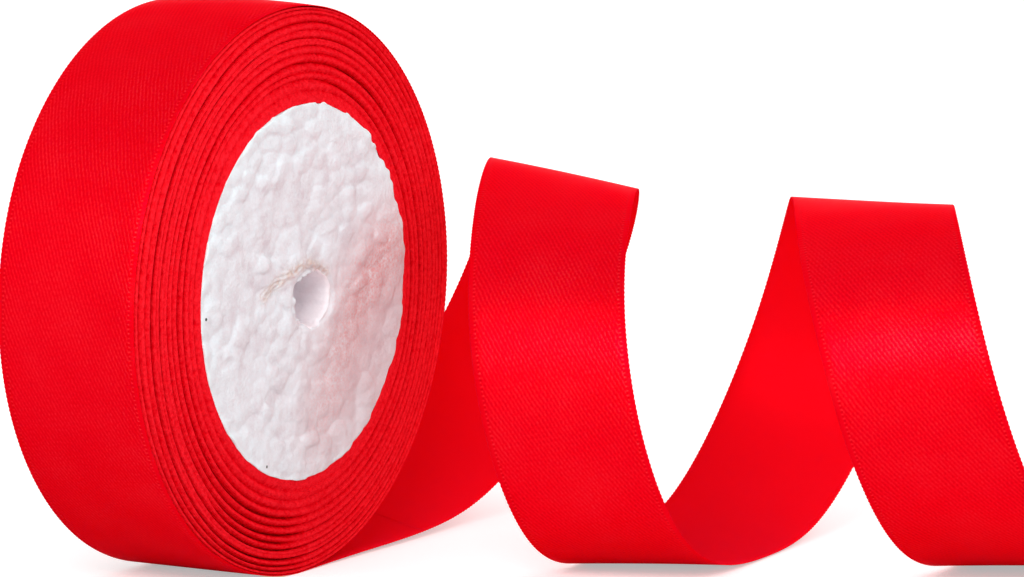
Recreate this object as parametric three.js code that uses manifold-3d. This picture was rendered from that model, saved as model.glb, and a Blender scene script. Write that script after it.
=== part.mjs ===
// Ribbon spool: a foam core wound with satin ribbon, whose free tail stands in loose waves beside it.
// Millimetres, +Z up. The roll stands on Z = 0 with its axis along Y; the tail leaves its bottom towards +X.
// The origin is on the floor, under the middle of the roll.

import * as THREE from "three";
import Module from "manifold-3d";

// Driving dimensions
const RIBBON_WIDTH = 25;
const ROLL_RADIUS = 45;
const CORE_RADIUS = 29.2;
const CORE_HOLE_RADIUS = 5;
const FACE_STEP = 1.3; // how far the innermost turns stand out in front of the outermost turn
const GAP = 0.3;

// Stand-in thickness of the outermost turn and the tail; the real ribbon is 0.16 thick.
const STRIP = 0.5;

// Tape that holds the ribbon's inner end on the core
const TAPE_THICKNESS = 0.4;
const TAPE_ARC_DEG = 40;
const TAPE_WIDTH = 19;
const TAPE_SLOT = 1;

const BAND_COUNT = 6;
const ROUND_STEPS = 72;
const TAPE_STEPS = 12;
const WELD_PER_MM = 10000; // corners closer than 0.0001 mm are one corner

// The outermost turn leaves the roll as a short flat lip; the tail goes on from there.
const LIP_END_X = 12.7;
const LIP_RISE = 0.4;
const TAIL_START = 0.75; // along the route, counted in route points
const TAIL_CUTS = [4, 14, 24];
const STEPS_PER_POINT = 6;
const POINT_SPACING = 18.5; // mm along the tail between two route points
const DIRECTION_STEP = 0.01; // in route points, either side of the place whose direction is wanted

const TURN_MID_Y = FACE_STEP / 2;
const TURNS_OUTER_RADIUS = ROLL_RADIUS - STRIP - GAP;
const TURNS_INNER_RADIUS = CORE_RADIUS + TAPE_SLOT;

// Route of the tail: x, y and z of the ribbon's middle line, then the heading and the tilt in degrees
// of the direction across the ribbon, from its back edge to its front edge.
const TAIL_ROUTE = [
  [0, 0, 0, -90, 0],
  [18.5, 0, 1, -90, -2],
  [37.5, -0.5, 3.5, -89, -13],
  [56, -1, 7, -88, -20],
  [71, -5, 20, -83, -25],
  [75, -12.5, 37, -76, -26],
  [67.5, -22, 53, -68, -22],
  [52, -31, 60, -65, -14],
  [35, -39.5, 60.5, -64, -4],
  [18.5, -47.5, 56.5, -66, 5],
  [5, -54, 44, -72, 11],
  [2.5, -58.5, 25, -78, 12],
  [11.5, -60.5, 7, -82, 10],
  [29, -59, 0, -85, 4],
  [48, -57.5, 0.5, -85, -2],
  [66.5, -56, 2.5, -84, -9],
  [83, -55.5, 13, -79, -16],
  [92.5, -58.5, 30, -72, -19],
  [87, -66.5, 48, -65, -16],
  [71.5, -76, 55, -62, -9],
  [56, -85, 57.5, -61, 0],
  [39, -94, 57.5, -61, 9],
  [24.5, -103.5, 50, -64, 15],
  [19, -111.5, 31.5, -70, 18],
  [29.5, -113.5, 13, -77, 14],
  [45, -112.5, 3.5, -80, 7],
  [61, -111, 0.5, -82, 2],
  [78, -109.5, 0, -83, 0],
];

const foam = new THREE.MeshStandardMaterial({ color: 0xf4f3f1, roughness: 0.9, metalness: 0 });
const tape = new THREE.MeshStandardMaterial({ color: 0xe8dfc4, roughness: 0.5, metalness: 0 });
const satin = new THREE.MeshStandardMaterial({ color: 0xe1001c, roughness: 0.4, metalness: 0 });

const wasm = await Module();
wasm.setup();

function toManifold(geometry) {
  const position = geometry.getAttribute("position");
  const count = geometry.index ? geometry.index.count : position.count;
  const vertProperties = [];
  const triVerts = [];
  const seen = new Map();
  for (let i = 0; i < count; i++) {
    const vertex = geometry.index ? geometry.index.getX(i) : i;
    const point = [position.getX(vertex), position.getY(vertex), position.getZ(vertex)];
    const key = point.map((value) => Math.round(value * WELD_PER_MM)).join(" ");
    if (!seen.has(key)) {
      seen.set(key, seen.size);
      vertProperties.push(...point);
    }
    triVerts.push(seen.get(key));
  }
  const mesh = new wasm.Mesh({
    numProp: 3,
    vertProperties: new Float32Array(vertProperties),
    triVerts: new Uint32Array(triVerts),
  });
  return new wasm.Manifold(mesh);
}

function toGeometry(manifold) {
  const mesh = manifold.getMesh();
  const geometry = new THREE.BufferGeometry();
  geometry.setAttribute("position", new THREE.BufferAttribute(new Float32Array(mesh.vertProperties), 3));
  geometry.setIndex(new THREE.BufferAttribute(new Uint32Array(mesh.triVerts), 1));
  geometry.computeVertexNormals();
  return geometry;
}

function named(name, geometry, material) {
  const mesh = new THREE.Mesh(geometry, material);
  mesh.name = name;
  return mesh;
}

// Front face of the roll at a radius: the turns are pushed out towards the front, evenly from outside in.
function frontY(radius) {
  const inward = (ROLL_RADIUS - radius) / (ROLL_RADIUS - CORE_RADIUS);
  return TURN_MID_Y - RIBBON_WIDTH / 2 - FACE_STEP * inward;
}

// A ring about the roll's axis, from an inner to an outer radius, with faces that follow the cone.
function ring(innerRadius, outerRadius) {
  const profile = [
    [innerRadius, frontY(innerRadius)],
    [outerRadius, frontY(outerRadius)],
    [outerRadius, frontY(outerRadius) + RIBBON_WIDTH],
    [innerRadius, frontY(innerRadius) + RIBBON_WIDTH],
    [innerRadius, frontY(innerRadius)],
  ].map(([radius, y]) => new THREE.Vector2(radius, y));
  const geometry = new THREE.LatheGeometry(profile, ROUND_STEPS);
  geometry.translate(0, 0, ROLL_RADIUS);
  return geometry;
}

function foamCore() {
  const front = frontY(CORE_RADIUS);
  const profile = [
    [CORE_HOLE_RADIUS, front],
    [CORE_RADIUS, front],
    [CORE_RADIUS, front + RIBBON_WIDTH],
    [CORE_HOLE_RADIUS, front + RIBBON_WIDTH],
    [CORE_HOLE_RADIUS, front],
  ].map(([radius, y]) => new THREE.Vector2(radius, y));
  const geometry = new THREE.LatheGeometry(profile, ROUND_STEPS);
  geometry.translate(0, 0, ROLL_RADIUS);
  return toGeometry(toManifold(geometry));
}

// A curved patch between the core and the innermost turns.
function coreTape() {
  const inner = CORE_RADIUS + (TAPE_SLOT - TAPE_THICKNESS) / 2;
  const outer = inner + TAPE_THICKNESS;
  const start = Math.PI / 2;
  const end = start + THREE.MathUtils.degToRad(TAPE_ARC_DEG);
  const shape = new THREE.Shape();
  shape.absarc(0, 0, outer, start, end, false);
  shape.absarc(0, 0, inner, end, start, true);
  const geometry = new THREE.ExtrudeGeometry(shape, {
    depth: TAPE_WIDTH,
    bevelEnabled: false,
    curveSegments: TAPE_STEPS,
  });
  geometry.rotateX(Math.PI / 2);
  geometry.translate(0, frontY(CORE_RADIUS) + (RIBBON_WIDTH + TAPE_WIDTH) / 2, ROLL_RADIUS);
  return toGeometry(toManifold(geometry));
}

function woundBands() {
  const pitch = (TURNS_OUTER_RADIUS - TURNS_INNER_RADIUS + GAP) / BAND_COUNT;
  const bands = [];
  for (let i = 0; i < BAND_COUNT; i++) {
    const innerRadius = TURNS_INNER_RADIUS + i * pitch;
    const geometry = toGeometry(toManifold(ring(innerRadius, innerRadius + pitch - GAP)));
    bands.push(named(`turns_${i + 1}`, geometry, satin));
  }
  return bands;
}

// The last full turn, drawn as a closed ring that runs on into the lip under the roll.
function outerTurn() {
  const inner = ROLL_RADIUS - STRIP;
  const outline = new THREE.Shape();
  outline.moveTo(0, -ROLL_RADIUS);
  outline.lineTo(LIP_END_X, LIP_RISE - ROLL_RADIUS);
  outline.lineTo(LIP_END_X, LIP_RISE + STRIP - ROLL_RADIUS);
  outline.lineTo(0, STRIP / 2 - ROLL_RADIUS);
  const lip = new THREE.ExtrudeGeometry(outline, { depth: RIBBON_WIDTH, bevelEnabled: false });
  const hoop = new THREE.Shape();
  hoop.absarc(0, 0, ROLL_RADIUS, 0, 2 * Math.PI, false);
  const hole = new THREE.Path();
  hole.absarc(0, 0, inner, 0, 2 * Math.PI, true);
  hoop.holes.push(hole);
  const turn = new THREE.ExtrudeGeometry(hoop, {
    depth: RIBBON_WIDTH,
    bevelEnabled: false,
    curveSegments: ROUND_STEPS,
  });
  const joined = toManifold(turn).add(toManifold(lip));
  const geometry = toGeometry(joined);
  geometry.rotateX(Math.PI / 2);
  geometry.translate(0, TURN_MID_Y + RIBBON_WIDTH / 2, ROLL_RADIUS);
  return geometry;
}

// Uniform cubic B-spline through the route; the end points are mirrored so that the curve reaches them.
function routeAt(place) {
  const last = TAIL_ROUTE.length - 1;
  const segment = Math.min(Math.floor(place), last - 1);
  const t = place - segment;
  const weights = [(1 - t) ** 3, 3 * t ** 3 - 6 * t ** 2 + 4, -3 * t ** 3 + 3 * t ** 2 + 3 * t + 1, t ** 3];
  return TAIL_ROUTE[0].map((_, column) => {
    let sum = 0;
    for (let k = 0; k < 4; k++) {
      const index = segment + k - 1;
      let value;
      if (index < 0) {
        value = 2 * TAIL_ROUTE[0][column] - TAIL_ROUTE[1][column];
      } else if (index > last) {
        value = 2 * TAIL_ROUTE[last][column] - TAIL_ROUTE[last - 1][column];
      } else {
        value = TAIL_ROUTE[index][column];
      }
      sum += weights[k] * value;
    }
    return sum / 6;
  });
}

// Four corners of the ribbon's section at a place on the route, in order round the section.
function sectionAt(place) {
  const [x, y, z, headingDeg, tiltDeg] = routeAt(place);
  const heading = THREE.MathUtils.degToRad(headingDeg);
  const tilt = THREE.MathUtils.degToRad(tiltDeg);
  const across = new THREE.Vector3(
    Math.cos(heading) * Math.cos(tilt),
    Math.sin(heading) * Math.cos(tilt),
    Math.sin(tilt),
  );
  const before = new THREE.Vector3(...routeAt(place - DIRECTION_STEP));
  const along = new THREE.Vector3(...routeAt(place + DIRECTION_STEP)).sub(before).normalize();
  const outward = new THREE.Vector3().crossVectors(along, across).normalize();
  const middle = new THREE.Vector3(x, y + TURN_MID_Y, z + STRIP / 2);
  const corners = [[-1, -1], [1, -1], [1, 1], [-1, 1]];
  return corners.map(([side, skin]) =>
    middle
      .clone()
      .addScaledVector(across, (side * RIBBON_WIDTH) / 2)
      .addScaledVector(outward, (skin * STRIP) / 2),
  );
}

// One stretch of the tail as a closed strip between two places on the route.
function tailStretch(from, to) {
  const stations = Math.max(2, Math.round((to - from) * STEPS_PER_POINT));
  const positions = [];
  for (let i = 0; i <= stations; i++) {
    for (const corner of sectionAt(from + ((to - from) * i) / stations)) {
      positions.push(corner.x, corner.y, corner.z);
    }
  }
  const faces = [];
  for (let i = 0; i < stations; i++) {
    for (let k = 0; k < 4; k++) {
      const a = i * 4 + k;
      const b = i * 4 + ((k + 1) % 4);
      faces.push(a, b, b + 4, a, b + 4, a + 4);
    }
  }
  const end = stations * 4;
  faces.push(0, 2, 1, 0, 3, 2);
  faces.push(end, end + 1, end + 2, end, end + 2, end + 3);
  const geometry = new THREE.BufferGeometry();
  geometry.setAttribute("position", new THREE.Float32BufferAttribute(positions, 3));
  geometry.setIndex(faces);
  geometry.computeVertexNormals();
  return geometry;
}

function tail() {
  const names = ["tail_run", "tail_wave_1", "tail_wave_2", "tail_end"];
  const halfGap = GAP / 2 / POINT_SPACING;
  const cuts = [TAIL_START, ...TAIL_CUTS, TAIL_ROUTE.length - 1 - halfGap];
  return names.map((name, i) => named(name, tailStretch(cuts[i] + halfGap, cuts[i + 1] - halfGap), satin));
}

const spool = new THREE.Group();
spool.name = "ribbon_spool";
spool.add(named("foam_core", foamCore(), foam));
spool.add(named("core_tape", coreTape(), tape));
spool.add(...woundBands());
spool.add(named("outer_turn", outerTurn(), satin));
spool.add(...tail());

export default spool;
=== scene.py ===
"""Looks of the ribbon spool: satin ribbon wound on a foam core, with its free tail. Metres, CAD frame."""

import math

import bpy
import numpy as np
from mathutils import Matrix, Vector

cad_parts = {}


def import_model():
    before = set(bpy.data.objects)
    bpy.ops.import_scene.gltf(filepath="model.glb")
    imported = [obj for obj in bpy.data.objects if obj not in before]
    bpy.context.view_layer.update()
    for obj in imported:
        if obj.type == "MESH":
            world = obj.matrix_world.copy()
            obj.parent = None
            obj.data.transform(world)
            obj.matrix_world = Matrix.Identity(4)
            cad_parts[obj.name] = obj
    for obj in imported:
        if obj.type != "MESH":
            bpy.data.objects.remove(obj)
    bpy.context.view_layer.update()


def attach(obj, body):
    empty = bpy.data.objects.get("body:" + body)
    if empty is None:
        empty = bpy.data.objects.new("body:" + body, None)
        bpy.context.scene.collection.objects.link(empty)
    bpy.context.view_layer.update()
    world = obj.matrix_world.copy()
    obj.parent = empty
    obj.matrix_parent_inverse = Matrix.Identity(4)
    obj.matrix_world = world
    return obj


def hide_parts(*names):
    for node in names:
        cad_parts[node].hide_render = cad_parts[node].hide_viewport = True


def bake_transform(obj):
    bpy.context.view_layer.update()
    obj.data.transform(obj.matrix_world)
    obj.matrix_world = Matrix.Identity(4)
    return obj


MM = 0.001

# Camera, fitted to the roll's outline: angles, then metres, with lens and sensor in millimetres
VIEW_AZIMUTH = math.radians(-59.49)
VIEW_ELEVATION = math.radians(7.69)
VIEW_DISTANCE = 0.9643
VIEW_LENS = 214.5
SENSOR_WIDTH = 36
VIEW_CLIP = (0.05, 50)
VIEW_ACROSS = 0.04434
VIEW_UP = -0.00045

# Ribbon and roll, in millimetres
WIDTH = 25.0
THICKNESS = 0.15
PITCH = 0.159
ROLL_RADIUS = 45.0
CORE_RADIUS = 29.35
WOUND_INNER = 29.6
WOUND_OUTER = 44.6
FACE_STEP = 1.3
MID_Y = FACE_STEP / 2
WOUND_PIECES = 6
STATIONS_PER_TURN = 360
STATIONS_PER_WOBBLE = 3
TURN_JITTER = 0.02
EDGE_JITTER = 0.012
EDGE_NOTCH = 0.03
WOUND_START = math.radians(-90)
WOUND_CORNERS = [0, 3, 4, 7]
WOUND_SEED = 100

# Route of the tail, as in part.mjs: x, y, z, then heading and tilt of the direction across the ribbon.
# The first three rows and the last four are set one by one. The rest are rounded from a fitted strip
TAIL_ROUTE = np.array(
    [
        [0, 0, 0, -90, 0],
        [18.5, 0, 1, -90, -2],
        [37.5, -0.5, 3.5, -89, -13],
        [56, -1, 7, -88, -20],
        [71, -5, 20, -83, -25],
        [75, -12.5, 37, -76, -26],
        [67.5, -22, 53, -68, -22],
        [52, -31, 60, -65, -14],
        [35, -39.5, 60.5, -64, -4],
        [18.5, -47.5, 56.5, -66, 5],
        [5, -54, 44, -72, 11],
        [2.5, -58.5, 25, -78, 12],
        [11.5, -60.5, 7, -82, 10],
        [29, -59, 0, -85, 4],
        [48, -57.5, 0.5, -85, -2],
        [66.5, -56, 2.5, -84, -9],
        [83, -55.5, 13, -79, -16],
        [92.5, -58.5, 30, -72, -19],
        [87, -66.5, 48, -65, -16],
        [71.5, -76, 55, -62, -9],
        [56, -85, 57.5, -61, 0],
        [39, -94, 57.5, -61, 9],
        [24.5, -103.5, 50, -64, 15],
        [19, -111.5, 31.5, -70, 18],
        [29.5, -113.5, 13, -77, 14],
        [45, -112.5, 3.5, -80, 7],
        [61, -111, 0.5, -82, 2],
        [78, -109.5, 0, -83, 0],
    ],
    float,
)

# The strip of ribbon along that route: spacing of the route's points and of the strip's stations in mm.
# The tail is cut at places counted in points: where the outermost turn ends, where bending ends, and
# a little short of the last point
POINT_SPACING = 18.5
TAIL_JOIN = 0.2
TAIL_JOIN_STATIONS = 20
TAIL_SPLIT = 2.0
TAIL_CUT_BACK = 0.02
DIRECTION_STEP = 0.01
STATION_STEP = 0.2

# Across the strip: steps, then shares of the width at its edges, then in mm the scallops along
# its edges, their pitch, and how far its middle stands up where it faces upwards
ACROSS_STEPS = 12
EDGE_ROUNDING = 0.004
EDGE_SHARE = 0.01
SCALLOP = 0.05
SCALLOP_PITCH = 0.8
CROWN = 0.5

# Grooves between bands of turns on the roll's face, from the core outwards. Each is a closed path:
# angle in degrees from +X towards +Z, radius in mm and depth in mm
GROOVES = [
    [
        (0, 31.2, 0.1), (60, 31.6, 0.2), (180, 31.2, 0.2), (250, 31.4, 0.3), (280, 31.4, 0.1),
    ],
    [
        (0, 32.4, 0.8), (30, 32.4, 0.8), (60, 33.0, 0.7), (90, 33.4, 0.3), (130, 33.2, 0.15),
        (180, 32.4, 0.15), (240, 32.9, 0.35), (270, 32.9, 0.2), (330, 32.8, 0.35),
    ],
    [
        (0, 34.0, 0.2), (60, 34.5, 0.3), (120, 34.2, 0.35), (180, 33.6, 0.5), (245, 34.4, 0.5),
        (270, 34.4, 0.25), (330, 34.3, 0.25),
    ],
    [
        (0, 35.6, 0.75), (30, 35.8, 0.6), (55, 36.05, 0.9), (85, 35.9, 0.5), (120, 35.25, 0.5),
        (150, 35.1, 0.6), (175, 35.1, 0.8), (200, 35.25, 0.75), (247, 35.75, 0.95), (262, 35.75, 0.8),
        (275, 35.8, 0.3), (330, 36.0, 0.35),
    ],
    [
        (0, 37.1, 0.2), (60, 37.5, 0.35), (110, 37.1, 0.3), (180, 36.5, 0.3), (245, 37.1, 0.7),
        (262, 37.1, 0.65), (275, 37.1, 0.25), (330, 37.2, 0.2),
    ],
    [
        (0, 38.4, 0.25), (60, 38.8, 0.35), (120, 38.2, 0.3), (165, 37.7, 0.3), (195, 37.7, 0.4),
        (210, 38.05, 0.6), (245, 38.5, 1.0), (262, 38.5, 1.0), (274, 38.5, 0.3), (330, 38.6, 0.2),
    ],
    [
        (0, 39.2, 0.05), (50, 39.5, 0.05), (160, 38.6, 0.1), (225, 39.2, 0.1), (238, 39.6, 0.8),
        (260, 39.7, 0.9), (270, 39.7, 0.2), (330, 39.3, 0.05),
    ],
    [
        (0, 40.0, 0.4), (50, 40.2, 0.8), (90, 39.7, 0.45), (130, 39.4, 0.5), (160, 39.4, 0.7),
        (180, 39.55, 0.9), (215, 40.3, 0.9), (250, 40.9, 1.05), (264, 40.9, 1.0), (276, 40.7, 0.35),
        (330, 40.2, 0.25),
    ],
    [
        (0, 41.2, 0.15), (60, 41.4, 0.3), (120, 40.4, 0.2), (180, 40.4, 0.15), (245, 41.6, 0.1),
        (300, 41.5, 0.15),
    ],
    [
        (0, 42.3, 0.3), (55, 42.7, 0.45), (75, 42.4, 0.5), (100, 41.9, 0.5), (130, 41.3, 0.65),
        (165, 41.2, 0.9), (200, 41.7, 0.95), (240, 42.35, 1.15), (264, 42.3, 1.1), (276, 42.3, 0.35),
        (330, 42.3, 0.25),
    ],
    [
        (0, 43.5, 0.2), (60, 43.7, 0.3), (130, 43.0, 0.3), (180, 42.9, 0.25), (230, 43.3, 0.5),
        (245, 43.4, 0.85), (262, 43.4, 0.8), (275, 43.4, 0.3), (330, 43.5, 0.2),
    ],
    [
        (0, 44.2, 0.15), (60, 44.2, 0.2), (120, 44.1, 0.45), (150, 44.1, 0.5), (200, 44.1, 0.8),
        (235, 44.15, 1.05), (262, 44.2, 0.8), (276, 44.2, 0.3), (330, 44.2, 0.15),
    ],
]

# How far the outermost turns stand back from the face, by angle, in mm
SHOULDER = [
    (-120, 0.8),
    (-90, 0.4),
    (-60, 0.0),
    (0, -0.3),
    (60, -0.2),
    (100, 0.2),
    (150, 0.7),
    (200, 0.8),
    (240, 0.8),
    (258, 0.5),
    (270, 0.0),
    (360, -0.3),
]
SHOULDER_START = 43.0

# How sharply a groove opens, how far the depths above are exaggerated, and the depth at which the painted
# shade in a groove is darkest
GROOVE_SHAPE = 1.8
GROOVE_SCALE = 1.4
PAINTED_SHADE_DEPTH = 1.0

# The outermost turn, in degrees from +X towards +Z: it starts tucked in under its own end
TURN_START = -120
TURN_END = 270.1
TURN_STEP = 0.3

# Weave of the satin, in millimetres: the stitched line near each edge, then the period and the
# direction (share across and along the ribbon) of the twill ridges and of a fainter crossing set
SELVEDGE_LINE = 0.95
SELVEDGE_HALF_WIDTH = 0.3
TWILL_PERIOD = 0.61
TWILL_ACROSS = 0.918
TWILL_ALONG = 0.396
COUNTER_PERIOD = 0.59
COUNTER_ACROSS = 0.978
COUNTER_ALONG = 0.207
STITCH_PERIOD = 0.7
RIB_PERIOD = 0.42

# Heights of the weave against a twill ridge's, and how fine and how strong its unevenness is
COUNTER_HEIGHT = 0.25
STITCH_HEIGHT = 2.0
WANDER_SCALE = 0.25
WANDER_AMOUNT = 0.5
UNEVEN_SCALE = 2.2
UNEVEN_HEIGHT = 5.0
SATIN_RELIEF = 0.0045
MATT_RELIEF = 0.004

# How much the weave, the stitches and broad patches lighten the satin, along its scale of colours
BASE_SHADE = 0.44
WEAVE_SHADE = 0.05
STITCH_SHADE = 0.14
RIB_SHADE = 0.02
MATT_STITCH_SHADE = 0.06
PATCH_SHADE = 0.12
SATIN_PATCH_SCALE = 0.12
MATT_PATCH_SCALE = 0.15

# Colours of the satin. Light reaches this deep, in millimetres, in the wound ribbon and in the tail
WOUND_LIGHT_DEPTH = 0.2
FREE_LIGHT_DEPTH = 1.2
SATIN_DARK = (0.62, 0.0, 0.003)
SATIN_RED = (0.86, 0.001, 0.010)
# The tail's red is the wound satin's red painted lighter: painted glow of the single layer lit through from
# behind. The matt back's reds are painted lighter than the glossy face too
PAINTED_GLOW_RED = (0.97, 0.001, 0.011)
SATIN_LIGHT = (1.0, 0.045, 0.055)
INNER_RED = (1.0, 0.004, 0.014)
SATIN_SCATTER = (1.0, 0.1, 0.1)
SATIN_SURFACE = {
    "Metallic": 0.45,
    "Roughness": 0.36,
    "Specular IOR Level": 0.0,
    "Specular Tint": (1.0, 0.06, 0.1, 1),
}
MATT_SURFACE = {
    "Metallic": 0.2,
    "Roughness": 0.5,
    "Specular IOR Level": 0.0,
    "Specular Tint": (1.0, 0.06, 0.1, 1),
}

# Colours of the turns' packed edges: painted shade in a groove, on a ridge, and of single bright threads
PAINTED_SHADE_RED = (0.40, 0.0, 0.001)
EDGE_RED = (0.79, 0.0, 0.007)
EDGE_LIGHT = (1.0, 0.020, 0.036)
EDGE_SURFACE = {
    "Metallic": 0.3,
    "Roughness": 0.45,
    "Specular IOR Level": 0.0,
    "Specular Tint": (1.0, 0.1, 0.14, 1),
}
EDGE_BEAD_SCALE = 1300.0
EDGE_LOOP_SCALE = 1.4
LOOP_HEIGHT = 0.3
EDGE_BASE_SHADE = 0.05
LOOP_SHADE = 0.55
EDGE_BEAD_SHADE = 0.7
# Painted shade: how far the edges are painted darker, towards the groove's colour, by the depth of their
# groove
GROOVE_PAINTED_DARKENING = -0.6
EDGE_RELIEF = 0.24

# Foam core, in millimetres on its face: size, scatter and height of the fused beads
BEAD_SPACING = 2.5
BEAD_STRETCH = 1.4
BEAD_SCATTER = 0.75
BEAD_BLEND = 4.5
BEAD_MARGIN = 4
BEAD_COLUMN = 0.87
BEAD_REACH = 0.62
DOME_SHARE = 0.5
LEVEL_SHARE = 0.35
CHUNK = 2000
BEAD_HEIGHT = 0.44

# Patches of rougher and smoother skin, low swells, the sunk rim of the hole, and how waves are summed
ROUGH_MEAN = 0.85
ROUGH_SWING = 0.3
ROUGH_SIZE = 9.0
ROUGH_LEAST = 0.2
SWELL_HEIGHT = 0.08
SWELL_SIZE = 6.0
RIM_SINK = 0.5
RIM_SINK_WIDTH = 0.08
WAVE_COUNT = 24
WAVE_SPREAD = (1.2, 3)

# Rings of the core's mesh
CORE_SEED = 7
CORE_AROUND = 540
WALL_RINGS = 20
FRONT_RINGS = 112
BACK_RINGS = 44

# The thin lip over the innermost turn. A ragged edge is a list of sizes and knots round the core
LIP_OVERLAP = 0.22
LIP_THICKNESS = 0.12
LIP_ROOT = 0.3
SIDE_OVERLAP = 0.1
LIP_RAGGED = [(0.13, 70), (0.12, 150)]
RAGGED_LEAST = 0.5
RAGGED_MORE = 0.9
RAGGED_MOST_AT = math.radians(40)

# The hole: middle, half width and half height. It narrows from its rounded mouth to its waist
HOLE_MIDDLE = (2.0, -1.2)
HOLE_HALF = (5.9, 4.5)
HOLE_RAGGED = [(0.35, 9), (0.2, 34)]
HOLE_DEEP = 1.0
HOLE_ROUNDING = 0.35
HOLE_MOUTH = 0.975
HOLE_WAIST = 0.84
HOLE_FLARE = 0.12
HOLE_FLARE_DEPTH = 9

# Torn skin round the top of the hole and away to its left
TORN_LINE = [(-12.0, 0.4), (-8.7, 2.0), (-6.0, 3.0), (-2.0, 4.2), (1.8, 4.4), (6.0, 2.4)]
TORN_WIDTH = 1.0
TORN_HEIGHT = 0.34
FOLD_RATE = 4.5
FOLD_WANDER = 1.6
FOLD_WANDER_SIZE = 2.6
FOLD_LEVEL = 0.4

# Painted red bounce light from the tail: a faint red patch on the foam beside the hole, strongest at the
# first point
BOUNCE_LINE = [(27.5, 5.0), (17.0, -1.5), (10.0, -11.0), (5.5, -19.0), (3.0, -26.0)]
BOUNCE_WIDTH = 6.5
BOUNCE_FADE = 56

# The painted light on the hole's wall, a pale colour lighter than the foam, fades inwards over this depth
WALL_LIGHT_DEPTH = 8
WALL_LIGHT_FADE = 0.3

# Third number of the foam's place attribute off its front face, so the specks show only on the front
NOT_FRONT = 5

# Two dark specks
FOAM_SPECKS = [(-11.6, -26.2), (-28.4, -1.0)]
SPECK_RADIUS = 0.25

# Colours of the foam, and the pale rim of painted bluish light: radius from, radius to and share of the
# rim's colour
FOAM_COLOURS = [(0.47, (0.67, 0.65, 0.69)), (0.65, (0.75, 0.775, 0.81)), (0.83, (0.785, 0.845, 0.89))]
# Colour of the painted red bounce light beside the hole
PAINTED_BOUNCE_PINK = (0.72, 0.37, 0.37)
FOAM_BEIGE = (0.68, 0.56, 0.51)
# Colour of the painted light on the hole's wall, lighter than the foam
HOLE_PAINTED_LIGHT = (0.98, 0.90, 0.94)
RIM_PAINTED_LIGHT = (0.78, 0.90, 0.93)
SPECK_COLOUR = (0.03, 0.04, 0.03)
RIM_LIGHT_BANDS = [(22.0, 29.0, 0.35), (28.8, 29.4, 0.6)]

# The foam's surface, then how fine its skin's noises are per metre and how much they do to its colour
# and relief. A patchy share is a noise times the first number, plus the second: the speckle for the painted
# red bounce light, strands for the beige of torn skin
FOAM_SURFACE = {
    "Roughness": 0.5,
    "Specular IOR Level": 0.4,
    "Subsurface Weight": 0.3,
    "Subsurface Radius": (1.0, 0.95, 0.95),
    "Subsurface Scale": 0.7 * MM,
}
MOTTLE_SCALE = 220.0
GRAIN_SCALE = 900.0
SPECKLE_SCALE = 2200.0
STRAND_SCALE = 1200.0
SPECKLE_SHADE = 0.3
BOUNCE_PATCHY = (3.0, -0.8)
BEIGE_PATCHY = (2.4, -0.5)
MOTTLE_HEIGHT = 1.5
SPECKLE_HEIGHT = 0.25
FOAM_RELIEF = 0.18

# Tape on the core: degrees from +X towards +Z, distance from the core's surface, and width
TAPE_DEGREES = (-130, -89)
TAPE_INNER = 0.12
TAPE_OUTER = 0.17
TAPE_WIDTH = 19.0
TAPE_ROUGHNESS = 0.4
TAPE_MOTTLE_SCALE = 400.0
TAPE_COLOURS = [(0.3, (0.70, 0.62, 0.42)), (0.7, (0.84, 0.78, 0.60))]

# Studio. The floor is a little darker as a source of bounced light than it looks to the camera.
FLOOR_SIZE = 6.0
FLOOR_BOUNCE = 0.74
FLOOR_SEEN = 0.85
FLOOR_LIFT = 0.42
FLOOR_MOTTLE = 0.02
FLOOR_MOTTLE_SCALE = 2.0
FLOOR_SURFACE = {"Roughness": 0.9, "Specular IOR Level": 0.0}

# Brightness of the world by height, from straight down at 0 to straight up at 1
WORLD_LIGHT = [(0.0, 0.5), (0.5, 1.0), (0.65, 0.9), (0.8, 0.8), (0.9, 0.58), (1.0, 0.42)]

# Softboxes: angle above the floor, distance and size in metres, and power in watts
LIT_MIDDLE = (0.03, -0.04, 0.045)
KEY_ELEVATION = math.radians(32)
KEY_DISTANCE = 1.2
KEY_SHIFT = 0.3
KEY_SIZE = (0.7, 0.35)
KEY_POWER = 6.7
FILL_ELEVATION = math.radians(40)
FILL_FRONT = 0.35
FILL_RIGHT = 0.93
FILL_DISTANCE = 1.3
FILL_SIZE = (0.9, 0.9)
FILL_POWER = 4.2
BACK_ELEVATION = math.radians(8)
BACK_DISTANCE = 1.3
BACK_SIZE = (0.9, 0.6)
BACK_POWER = 1.1


# ---------------------------------------------------------------- helpers


def new_object(name, verts, faces, materials, face_materials=None, smooth=True):
    """A mesh object in the scene, with a material number for each face if they differ."""
    mesh = bpy.data.meshes.new(name)
    mesh.from_pydata([tuple(v) for v in verts], [], [tuple(f) for f in faces])
    for material in materials:
        mesh.materials.append(material)
    if face_materials is not None:
        mesh.polygons.foreach_set("material_index", np.asarray(face_materials, np.int32))
    mesh.polygons.foreach_set("use_smooth", np.full(len(mesh.polygons), smooth))
    mesh.validate()
    mesh.update()
    obj = bpy.data.objects.new(name, mesh)
    bpy.context.scene.collection.objects.link(obj)
    return obj


def vector_attribute(obj, name, values):
    """Stores three numbers at each vertex, for the materials to read."""
    attribute = obj.data.attributes.new(name, "FLOAT_VECTOR", "POINT")
    attribute.data.foreach_set("vector", np.asarray(values, np.float32).ravel())


def loft(sections):
    """Vertices and quads of a tube through sections, an array of stations x points x 3."""
    stations, points = sections.shape[:2]
    verts = sections.reshape(-1, 3)
    i = np.arange(stations - 1)[:, None] * points
    k = np.arange(points)[None, :]
    a = i + k
    b = i + (k + 1) % points
    faces = np.stack([a, b, b + points, a + points], -1).reshape(-1, 4)
    return verts, faces


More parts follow.
